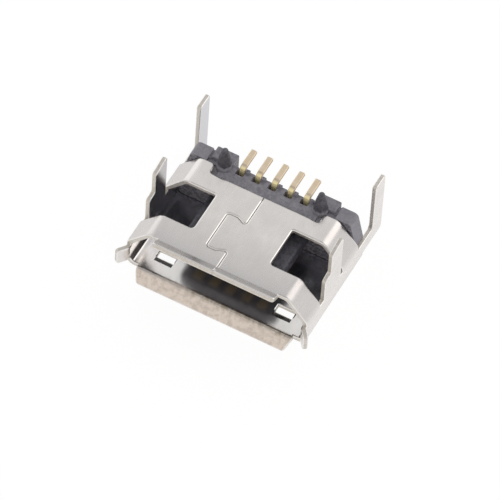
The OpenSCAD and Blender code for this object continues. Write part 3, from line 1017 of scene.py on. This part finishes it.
    def plate(self) -> Plate:
        """Cuts the flat blank: its outline, the windows round their legs and the latch holes."""
        loops = [self.outline(), self.window(), self.mirrored(self.window()),
                 self.latch_hole(), self.mirrored(self.latch_hole())]
        return Plate.cut(loops, self.skin / 2, self.edge_w, self.edge_d, self.grid_edges(), steps=5)

    def region(self, flat: np.ndarray) -> np.ndarray:
        """Whether each point of the blank belongs to a leg, which stays in the side wall's plane."""
        s = self.section.right_half(flat[:, 0])
        y, side = flat[:, 1], self.section.at_side
        front = self.front_leg_back + self.front_leg_w + self.stop_w
        in_window = (y > -front - 0.01) & (y < -self.front_leg_back + 0.01) & (s > self.window_x + 0.01)
        behind = (y > -self.shoulder_back + 0.01) & (s < side(-self.arm_top) + 0.001)
        return (in_window & (s < side(-self.window_drop) + 0.001)) | behind

    def shoulder(self, flat: np.ndarray) -> np.ndarray:
        """How far each point belongs to a shoulder: 1 on it, 0 on its neighbours, even over the folds. It
        masks the painted shade of the shoulders.
        """
        s = self.section.right_half(flat[:, 0])
        slope, heading = self.section.rows[2, 3], self.section.heading(s)
        level = np.minimum(heading / slope, (math.pi / 2 - heading) / (math.pi / 2 - slope))
        return np.clip(level, 0, 1) * ~self.region(flat)

    def pressed(self, s: np.ndarray, y: np.ndarray) -> tuple[np.ndarray, np.ndarray]:
        """How far the latch hole's front margin is pressed out, and how much it leans there.

        With the share t = (y - front) / length and the bend's share b, the slope grows evenly up to
        t = b and then stays: depth min(t / b, 1) / (length (1 - b / 2)).

        Args:
            s: The arc lengths on the right half.
            y: The places along the depth.

        Returns:
            The distances and the angles.
        """
        front = self.mouth_y + self.latch_setback
        aside = np.abs(s - self.section.at_floor(self.latch_x))
        share = np.clip((y - front) / self.press_l, 0, 1) * (y < front + self.press_l + 0.02)
        level = np.clip((self.latch_w / 2 + self.press_side - aside) / self.press_side, 0, 1)
        bend = self.press_bend
        depth = np.where(share < bend, share ** 2 / (2 * bend), share - bend / 2) / (1 - bend / 2)
        slope = self.press_d / self.press_l * np.minimum(share / bend, 1) / (1 - bend / 2)
        return self.press_d * depth * level, np.arctan(slope * level)

    def fold(self, plate: Plate) -> Surface:
        """Folds the flat blank into the shell.

        The tube follows the section. A leg stays at x = +-(outer - sheet / 2) with z falling by the
        arc length. Beyond the mouth's edge by d, a flap of angle a and radius r goes forward by
        r sin p + (d - ra) cos a and outward by r (1 - cos p) + (d - ra) sin a, with p = min(d / r, a).
        With the normal N of the section the flap's own normal is N cos p + Y sin p. Before the flare,
        where its bend draws the wall, the shading alone leans back by up to draw_angle.

        Args:
            plate: The flat blank.

        Returns:
            The folded sheet.
        """
        s, y = plate.flat.T
        point, normal, smooth = self.section.place(s)
        right = self.section.right_half(s)
        flare_end = self.flare_w / 2 + 0.2
        horn_end = self.section.at_side(-self.horn_top - self.horn_h) + 0.05
        angle = np.radians(np.select([right < flare_end, right < horn_end],
                                     [self.flare_angle, self.horn_angle], self.lip_angle))
        beyond = np.maximum(self.mouth_y - y, 0.0)
        turned = np.minimum(beyond / self.bend_r, angle)
        straight = np.maximum(beyond - self.bend_r * angle, 0.0)
        forward = self.bend_r * np.sin(turned) + straight * np.cos(angle)
        out = self.bend_r * (1 - np.cos(turned)) + straight * np.sin(angle)
        middle = np.stack([point[:, 0], np.maximum(y, self.mouth_y), point[:, 1]], 1)
        across, shaded = (np.stack([way[:, 0], np.zeros(len(s)), way[:, 1]], 1) for way in (normal, smooth))
        depth = np.array([[0.0, 1.0, 0.0]])
        middle += across * out[:, None] - depth * forward[:, None]
        legs = self.region(plate.flat)
        start, x, z, _, _ = self.section.rows[4]
        side = np.where(s > self.section.half, -1.0, 1.0)
        middle[legs, 0] = side[legs] * x
        middle[legs, 2] = z - (right[legs] - start)
        across[legs] = shaded[legs] = side[legs, None] * np.array([[1.0, 0.0, 0.0]])
        round_way = np.cross(depth, shaded)
        into, press = self.pressed(right, y)
        middle += across * into[:, None]
        up = across * np.cos(turned)[:, None] + depth * np.sin(turned)[:, None]
        points = middle + up * plate.height[:, None]
        draw = np.clip((self.mouth_y + self.draw_l - y) / self.draw_l, 0, 1) * (right < self.top_half)
        turned = np.maximum(turned, math.radians(self.draw_angle) * draw ** 2) - press
        cos, sin = np.cos(turned)[:, None], np.sin(turned)[:, None]
        up, along = shaded * cos + depth * sin, depth * cos - shaded * sin
        normals = up * plate.lift[:, None] + round_way * plate.edge[:, :1] + along * plate.edge[:, 1:]
        return Surface(points, normals, plate.faces, plate.wear_and_painted_light)

    def build(self) -> bpy.types.Object:
        """Cuts the blank and folds it, and marks the inner side of the sheet."""
        plate = self.plate()
        obj = self.fold(plate).to_object("shell_sheet", Nickel().build("nickel_plating"))
        write_attribute(obj, "inner", np.clip(-plate.lift, 0, 1))
        # the shoulder mask for the painted shade of the shoulders
        write_attribute(obj, "shoulder", self.shoulder(plate.flat))
        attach(obj, "root")
        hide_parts("shell")
        LOG.info("shell: %d faces", len(obj.data.polygons))
        return obj


# The contacts


@dataclass
class Contacts:
    """Five stamped contacts: a blade under the tongue, an upright part and a solder tail."""

    count: int = 5
    pitch: float = 0.65
    thick: float = 0.15
    blade_w: float = 0.35
    tail_w: float = 0.23
    tail_end: float = 1.07
    tip_y: float = -3.20
    tip_rise: float = 0.14
    blade_z: float = -1.135
    tail_z: float = -0.095
    riser_y: float = 0.205
    bend_r: float = 0.175
    narrow_y: float = -0.6
    corner_r: float = 0.03
    around: int = 5
    tip_l: float = 0.21
    tip_bend: float = 0.15
    end_share: float = 0.02
    end_l: float = 0.012
    end_size: float = 0.93

    def line(self) -> np.ndarray:
        """The middle line in Y and Z from the tongue's tip to the tail's end."""
        return round_corners([
            (self.tip_y, self.blade_z + self.tip_rise, 0),
            (self.tip_y + self.tip_l, self.blade_z, self.tip_bend),
            (self.riser_y, self.blade_z, self.bend_r), (self.riser_y, self.tail_z, self.bend_r),
            (self.tail_end, self.tail_z, 0)], closed=False, steps=8)

    def profile(self) -> tuple[np.ndarray, np.ndarray]:
        """A rounded rectangle round the middle line, as side and arc parts.

        Returns:
            The signs of the corner that each point belongs to, and its offset on the corner's arc.
        """
        angle = np.linspace(0, math.pi / 2, self.around)
        turn = np.concatenate([angle + k * math.pi / 2 for k in range(4)])
        sign = np.repeat(np.array([[1, 1], [-1, 1], [-1, -1], [1, -1]], float), self.around, axis=0)
        return sign[::-1], self.corner_r * np.stack([np.cos(turn), np.sin(turn)], 1)[::-1]

    def build_one(self, number: int, material: bpy.types.Material) -> bpy.types.Object:
        """Carries the rounded rectangle along the middle line.

        A point is line + X (side (w / 2 - r) + r cos t) + normal (side (h / 2 - r) + r sin t), where
        the width w falls from the blade's to the tail's behind the tongue's root.

        Args:
            number: The contact's number from the left, from 1.
            material: The plating.

        Returns:
            The finished contact.
        """
        line = self.line()
        ends = np.array([line[0] + (line[1] - line[0]) * self.end_share, line[-1] - [self.end_l, 0.0]])
        line = np.concatenate([line[:1], ends[:1], line[1:-1], ends[1:], line[-1:]])
        normal = left_normals(line)
        share = np.clip((line[:, 0] - self.narrow_y) / self.blade_w, 0, 1)
        width = self.blade_w + (self.tail_w - self.blade_w) * share
        shrink = np.ones(len(line))
        shrink[[0, -1]] = self.end_size
        sign, arc = self.profile()
        side = (sign[None, :, 0] * (width[:, None] / 2 - self.corner_r) + arc[None, :, 0]) * shrink[:, None]
        rise = (sign[None, :, 1] * (self.thick / 2 - self.corner_r) + arc[None, :, 1]) * shrink[:, None]
        x = (number - (self.count + 1) / 2) * self.pitch + side
        points = np.stack([x, line[:, None, 0] + normal[:, None, 0] * rise,
                           line[:, None, 1] + normal[:, None, 1] * rise], -1)
        slant = np.stack([np.broadcast_to(arc[None, :, 0], rise.shape),
                          normal[:, None, 0] * arc[None, :, 1], normal[:, None, 1] * arc[None, :, 1]], -1)
        wear_and_painted_light = np.tile(np.abs(arc[:, 0]) / self.corner_r, len(line))
        made = Surface(points.reshape(-1, 3), slant.reshape(-1, 3), tube_faces(*points.shape[:2]), wear_and_painted_light)
        obj = made.to_object(f"contact_strip_{number}", material)
        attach(obj, "root")
        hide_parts(f"contact_{number}")
        return obj

    def build(self) -> list[bpy.types.Object]:
        """Builds the five contacts with one plating."""
        material = Gold().build("gold_plating")
        made = [self.build_one(i + 1, material) for i in range(self.count)]
        LOG.info("contacts: %d pieces", len(made))
        return made


# The insulator


@dataclass
class Insulator:
    """The moulding that holds the contacts: body, tongue, notched ledge, blocks, guides and posts."""

    section: Section = field(default_factory=Section)
    body_fit: float = 0.02
    body_front: float = 0.6
    ledge_back: float = 0.2
    ledge_z: float = -0.15
    ledge_x: float = 2.0
    tongue_w: float = 3.9
    tongue_top: float = -0.6
    tongue_low: float = -1.18
    tongue_y: float = -3.27
    tongue_r: float = 0.3
    nose: float = 0.12
    base_x: float = 3.36
    block_x: float = 3.52
    block_top_x: float = 3.24
    block_back: float = 0.45
    block_drop: float = 0.04
    block_round: float = 0.2
    block_low: float = -1.23
    block_front: float = -0.16
    groove_x: float = 2.55
    groove_w: float = 0.09
    inner_x: float = 1.64
    inner_front: float = 0.06
    inner_back: float = 0.58
    post_x: float = 1.95
    post_r: float = 0.22
    post_tip_r: float = 0.12
    post_foot: float = 0.12
    post_straight: float = 0.36
    post_h: float = 0.85
    collar_r: float = 0.3
    collar_z: float = -0.04
    pitch: float = 0.65
    count: int = 5
    notch_half: float = 0.162
    notch_front: float = -0.11
    sill_z: float = -0.5
    notch_step: float = 0.1
    throat_half: float = 0.125
    reveal: float = 0.01
    slot_low: float = -1.15
    guide_l: float = 0.14
    edge: float = 0.03
    corner: float = 0.035
    ledge_edge: float = 0.014
    notch_r: float = 0.015
    throat_r: float = 0.02
    lap: float = 0.05
    front_lap: float = 0.02
    inner_top: float = -0.001
    bridge_front: float = 0.02
    guide_r: float = 0.024
    guide_edge: float = 0.02
    bevel: float = 0.02

    def contact_x(self) -> list[float]:
        """The places of the contacts across the socket."""
        return [(i - (self.count - 1) / 2) * self.pitch for i in range(self.count)]

    def body(self) -> Surface:
        """The block behind the tongue, which fills the shell's section with a small clearance."""
        d, c = self.section.sheet + self.body_fit, self.corner
        slope = math.atan2(self.section.shoulder_h, self.section.outer_x - self.section.top_w / 2)
        top = self.section.top_w / 2 - d * math.tan(slope / 2)
        side = self.section.outer_x - d
        shoulder = -self.section.shoulder_h - d * math.tan((math.pi / 2 - slope) / 2)
        low, fold = d - self.section.outer_h, self.section.fold_r
        flank = [(side, low, fold), (side, shoulder, fold), (top, -d, fold)]
        front = block(Axis.Y, self.reveal - self.body_front, self.notch_front - self.front_lap,
                      both_sides(flank), self.edge)
        brim, wall = self.ledge_z - self.reveal, self.ledge_x - 2 * self.lap
        flank = [(wall, self.sill_z, c), (wall, -d - self.reveal, c), (top, -d - self.reveal, fold),
                 (side - self.reveal, shoulder, fold), (side - self.reveal, low + self.reveal, fold)]
        middle = block(Axis.Y, self.notch_front - self.lap, self.block_front + 2 * self.edge,
                       both_sides(flank), self.edge)
        half = [(wall, self.sill_z, c), (wall, brim, c), (self.block_top_x, brim, c),
                (self.base_x, self.block_low, c), (self.base_x, low + self.reveal, fold)]
        back = block(Axis.Y, self.block_front + self.edge, self.ledge_back - self.reveal,
                     both_sides(half), self.edge)
        return front + middle + back

    def ledge(self) -> Surface:
        """The ledge in front of the contacts, with one notch round each upright part."""
        c, back = self.corner, self.ledge_back
        corners = [(-self.ledge_x, back, c)]
        for x in self.contact_x():
            notch = [(self.throat_half, back, self.throat_r),
                     (self.throat_half, self.notch_step, self.notch_r),
                     (self.notch_half, self.notch_step, self.notch_r),
                     (self.notch_half, self.notch_front, c)]
            corners += [(x - u, y, r) for u, y, r in notch]
            corners += [(x + u, y, r) for u, y, r in notch[::-1]]
        corners += [(self.ledge_x, back, c), (self.ledge_x, -self.body_front, c),
                    (-self.ledge_x, -self.body_front, c)]
        return block(Axis.Z, self.slot_low - self.lap, self.ledge_z, corners, self.ledge_edge)

    def blocks(self) -> Surface:
        """The outer and inner blocks of the right side, with the groove between them."""
        c, back = self.corner, self.block_back - self.reveal
        inner, outer = self.groove_x - self.groove_w / 2, self.groove_x + self.groove_w / 2
        big = block(Axis.Y, self.block_front, self.block_back, [
            (outer, self.block_low, c), (self.block_x, self.block_low, c),
            (self.block_top_x, -self.block_drop, self.block_round),
            (outer, -self.block_drop, c)], self.edge)
        foot = block(Axis.Z, self.block_low + self.reveal, self.ledge_z - self.reveal / 2,
                     rectangle(self.inner_x + self.reveal, 0, outer + c, back, c), self.edge)
        small = block(Axis.Z, self.block_low, self.inner_top,
                      rectangle(self.inner_x, self.inner_front, inner, self.inner_back, c), self.edge)
        bridge = block(Axis.Z, self.ledge_z - 2 * self.lap, -self.block_drop - self.edge,
                       rectangle(inner - c, self.bridge_front, outer + c, self.block_back - c, c), self.edge)
        # the foot and the small inner block are painted lighter
        return big + bridge + (foot + small).with_painted_light(0.7)

    def guides(self) -> Surface:
        """The small guides beside the notches."""
        made = []
        for x in self.contact_x():
            low, high = x + self.notch_half, x + self.notch_half + self.pitch / 4
            low, back = low + self.reveal / 2, self.ledge_back - self.reveal / 2
            corners = rectangle(low, back - self.guide_l, high, back, self.guide_r)
            made.append(block(Axis.Z, self.ledge_z - self.lap, self.ledge_z + self.guide_l, corners,
                              self.guide_edge))
        return sum(made[1:], made[0])

    def tongue(self) -> Surface:
        """The tongue, round at its front corners and along its edges."""
        w, y, hidden = self.tongue_w / 2, self.nose * 1.5 - self.body_front, self.nose * 1.2
        return block(Axis.Z, self.tongue_low, self.tongue_top, [
            (-w, y, hidden), (-w, self.tongue_y, self.tongue_r), (w, self.tongue_y, self.tongue_r),
            (w, y, hidden)], self.nose)

    def post(self) -> Surface:
        """The right post: collar, conical foot, straight part and rounded tapered tip."""
        bend = np.linspace(0, math.radians(88), 7)[1:]
        tip = self.post_h - self.post_tip_r
        cap = np.stack([self.post_tip_r * np.cos(bend), tip + self.post_tip_r * np.sin(bend)], 1)
        profile = np.array([
            (self.collar_r, self.ledge_z - self.lap), (self.collar_r, self.collar_z - self.edge),
            (self.collar_r - self.bevel, self.collar_z), (self.post_r + self.edge, self.post_foot * 0.4),
            (self.post_r, self.post_foot), (self.post_r, self.post_straight - self.edge),
            (self.post_r - self.bevel / 2, self.post_straight + self.bevel),
            (self.post_tip_r + 0.006, tip - self.bevel)])
        return lathe(np.concatenate([profile, cap]), (self.post_x, 0.0), rim_rows=3)

    def build(self) -> bpy.types.Object:
        """Joins the parts of the moulding into one piece."""
        right = self.blocks() + self.post()
        # the ledge is painted lighter, and the tongue is in painted shade
        whole = self.body() + self.ledge().with_painted_light(0.7) + self.guides() + self.tongue().with_painted_light(-0.7)
        whole = whole + right + right.mirrored()
        obj = whole.to_object("moulding", Moulding().build("glass_filled_plastic"))
        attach(obj, "root")
        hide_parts("insulator")
        LOG.info("insulator: %d faces", len(obj.data.polygons))
        return obj


# The stage


def direction(azimuth: float, elevation: float) -> Vector:
    """The unit vector towards a place at those degrees, with 0 in front of the mouth."""
    a, e = math.radians(azimuth), math.radians(elevation)
    return Vector((math.sin(a) * math.cos(e), -math.cos(a) * math.cos(e), math.sin(e)))


@dataclass(frozen=True)
class Lamp:
    """A square soft light aimed at the part: angles in degrees, size in millimetres, power in watts."""

    name: str
    azimuth: float
    elevation: float
    size: float
    power: float
    tint: tuple = (1.0, 1.0, 1.0)
    distance: float = 150.0

    def build(self) -> None:
        """Makes the light at its distance, turned towards the part."""
        way = direction(self.azimuth, self.elevation)
        data = bpy.data.lights.new(self.name, "AREA")
        data.size = self.size * MM
        data.energy = self.power
        data.color = self.tint
        obj = bpy.data.objects.new(self.name, data)
        bpy.context.scene.collection.objects.link(obj)
        obj.location = way * (self.distance * MM)
        obj.rotation_mode = "QUATERNION"
        obj.rotation_quaternion = way.to_track_quat("Z", "Y")


@dataclass
class Studio:
    """White sweep, soft light and the camera at the photograph's angle."""

    azimuth: float = 24.857
    elevation: float = 54.118
    roll: float = 4.194
    distance: float = 242.5
    scale_px: float = 28.18
    offset_u: float = -0.343
    offset_v: float = 0.611
    target_y: float = -2.42
    half_px: float = 250.0
    sensor: float = 36.0
    low_lip: tuple = (-4.42, -2.664)
    low_rear: tuple = (0.25, -2.25)
    floor_half: float = 40.0
    floor_gap: float = 0.002
    floor_white: float = 0.93
    floor_light: float = 1.04
    glow: float = 0.59
    seen_glow: float = 0.30
    sky: float = 0.80
    horizon: float = 0.42
    side_lift: float = 0.4
    zenith: float = 0.45
    front: tuple = (0.80, 0.76, 0.73)
    side_x: tuple = (0.3, 0.8)
    rise_z: tuple = (0.0, 0.8)
    zenith_z: tuple = (0.84, 0.97)
    front_y: tuple = (-0.35, -0.85)
    lamps: tuple = (Lamp("soft_left", -125.0, 15.0, 140.0, 0.022),
                    Lamp("soft_right", 135.0, 36.0, 110.0, 0.027, (1.0, 0.92, 0.88)))

    def camera(self) -> None:
        """Sets the camera: c points back from the target, r to the right, and the roll turns r and up."""
        a, roll = math.radians(self.azimuth), math.radians(self.roll)
        back = direction(self.azimuth, self.elevation)
        flat_right = Vector((math.cos(a), math.sin(a), 0))
        flat_up = back.cross(flat_right)
        right = flat_right * math.cos(roll) + flat_up * math.sin(roll)
        up = flat_up * math.cos(roll) - flat_right * math.sin(roll)
        place = Vector((0, self.target_y, 0)) + back * self.distance
        place -= right * self.offset_u + up * self.offset_v
        data = bpy.data.cameras.new("camera")
        data.sensor_width = self.sensor
        data.lens = self.sensor / 2 * self.scale_px * self.distance / self.half_px
        data.clip_start, data.clip_end = 0.01, 10.0
        obj = bpy.data.objects.new("camera", data)
        bpy.context.scene.collection.objects.link(obj)
        turn = Matrix((right, up, back)).transposed().to_4x4()
        obj.matrix_world = Matrix.Translation(place * MM) @ turn
        bpy.context.scene.camera = obj

    def floor(self) -> None:
        """A white floor through the two edges on which the part rests: the lip and the rear edge."""
        (y0, z0), (y1, z1) = self.low_lip, self.low_rear
        rise, half = (z1 - z0) / (y1 - y0), self.floor_half
        corners = [(x, y, z0 + (y - y0) * rise - self.floor_gap)
                   for x, y, _ in rectangle(-half, -half, half, half, 0)]
        level = np.tile([0.0, 0.0, 1.0], (4, 1))
        g = Graph("white_paper")
        tone = g.ranged(g.noise(0.05), self.floor_white - 0.01, self.floor_white)
        join = g.add("ShaderNodeCombineColor")
        for k in range(3):
            g.join(tone, join.inputs[k])
        g.shade(Base_Color=join.outputs[0])
        g.shader.inputs["Roughness"].default_value = 0.9
        g.shader.inputs["Specular IOR Level"].default_value = 0.0
        glow, mix = g.add("ShaderNodeEmission", Strength=self.floor_light), g.add("ShaderNodeMixShader")
        path = g.add("ShaderNodeLightPath")
        g.join(g.ranged(path.outputs["Is Camera Ray"], self.glow, self.glow + self.seen_glow, 0.0, 1.0),
               mix.inputs[0])
        g.join(g.shader.outputs[0], mix.inputs[1])
        g.join(glow.outputs[0], mix.inputs[2])
        g.join(mix.outputs[0], g.out.inputs["Surface"])
        obj = Surface(np.array(corners), level, [[0, 1, 2, 3]], np.zeros(4)).to_object("floor", g.material)

    def world(self) -> None:
        """A white world to the camera, and for the light a soft sky with plain parts.

        With the direction (x, y, z), the sky rises from the horizon to its full strength at z = 0.8,
        the horizon is lifted to both sides, the zenith is dimmer and the front is a warm low light.
        """
        world = bpy.data.worlds.new("studio")
        bpy.context.scene.world = world
        world.use_nodes = True
        g = Nodes(world.node_tree)
        out, mix = g.add("ShaderNodeOutputWorld"), g.add("ShaderNodeMixShader")
        path, place = g.add("ShaderNodeLightPath"), g.add("ShaderNodeTexCoord")
        seen, sky = g.add("ShaderNodeBackground"), g.add("ShaderNodeBackground")
        split, side = g.add("ShaderNodeSeparateXYZ"), g.add("ShaderNodeMath", "ABSOLUTE")
        g.join(place.outputs["Generated"], split.inputs[0])
        g.join(split.outputs[X], side.inputs[0])
        low = g.ranged(side.outputs[0], self.horizon, self.horizon + self.side_lift, *self.side_x)
        rise = g.ranged(split.outputs[Z], self.horizon, self.sky, *self.rise_z)
        g.join(low, rise.node.inputs["To Min"])
        level = g.times(rise, g.ranged(split.outputs[Z], 1.0, self.zenith, *self.zenith_z))
        warm = g.mix(g.ranged(split.outputs[Y], 0.0, 1.0, *self.front_y), level, self.front)
        g.join(warm, sky.inputs["Color"])
        g.join(path.outputs["Is Camera Ray"], mix.inputs[0])
        g.join(sky.outputs[0], mix.inputs[1])
        g.join(seen.outputs[0], mix.inputs[2])
        g.join(mix.outputs[0], out.inputs["Surface"])
        seen.inputs["Color"].default_value = (1, 1, 1, 1)

    def build(self) -> None:
        """Sets the view, the floor, the world and the lights."""
        scene = bpy.context.scene
        scene.view_settings.view_transform = "Standard"
        self.floor()
        self.world()
        for lamp in self.lamps:
            lamp.build()
        self.camera()
        LOG.info("studio: camera, floor and light")


def main() -> None:
    """Builds the shell, the contacts, the insulator and the studio in order."""
    logging.basicConfig(level=logging.INFO, format="%(name)s: %(message)s")
    Shell().build()
    Contacts().build()
    Insulator().build()
    Studio().build()


if __name__ == "__main__":
    main()
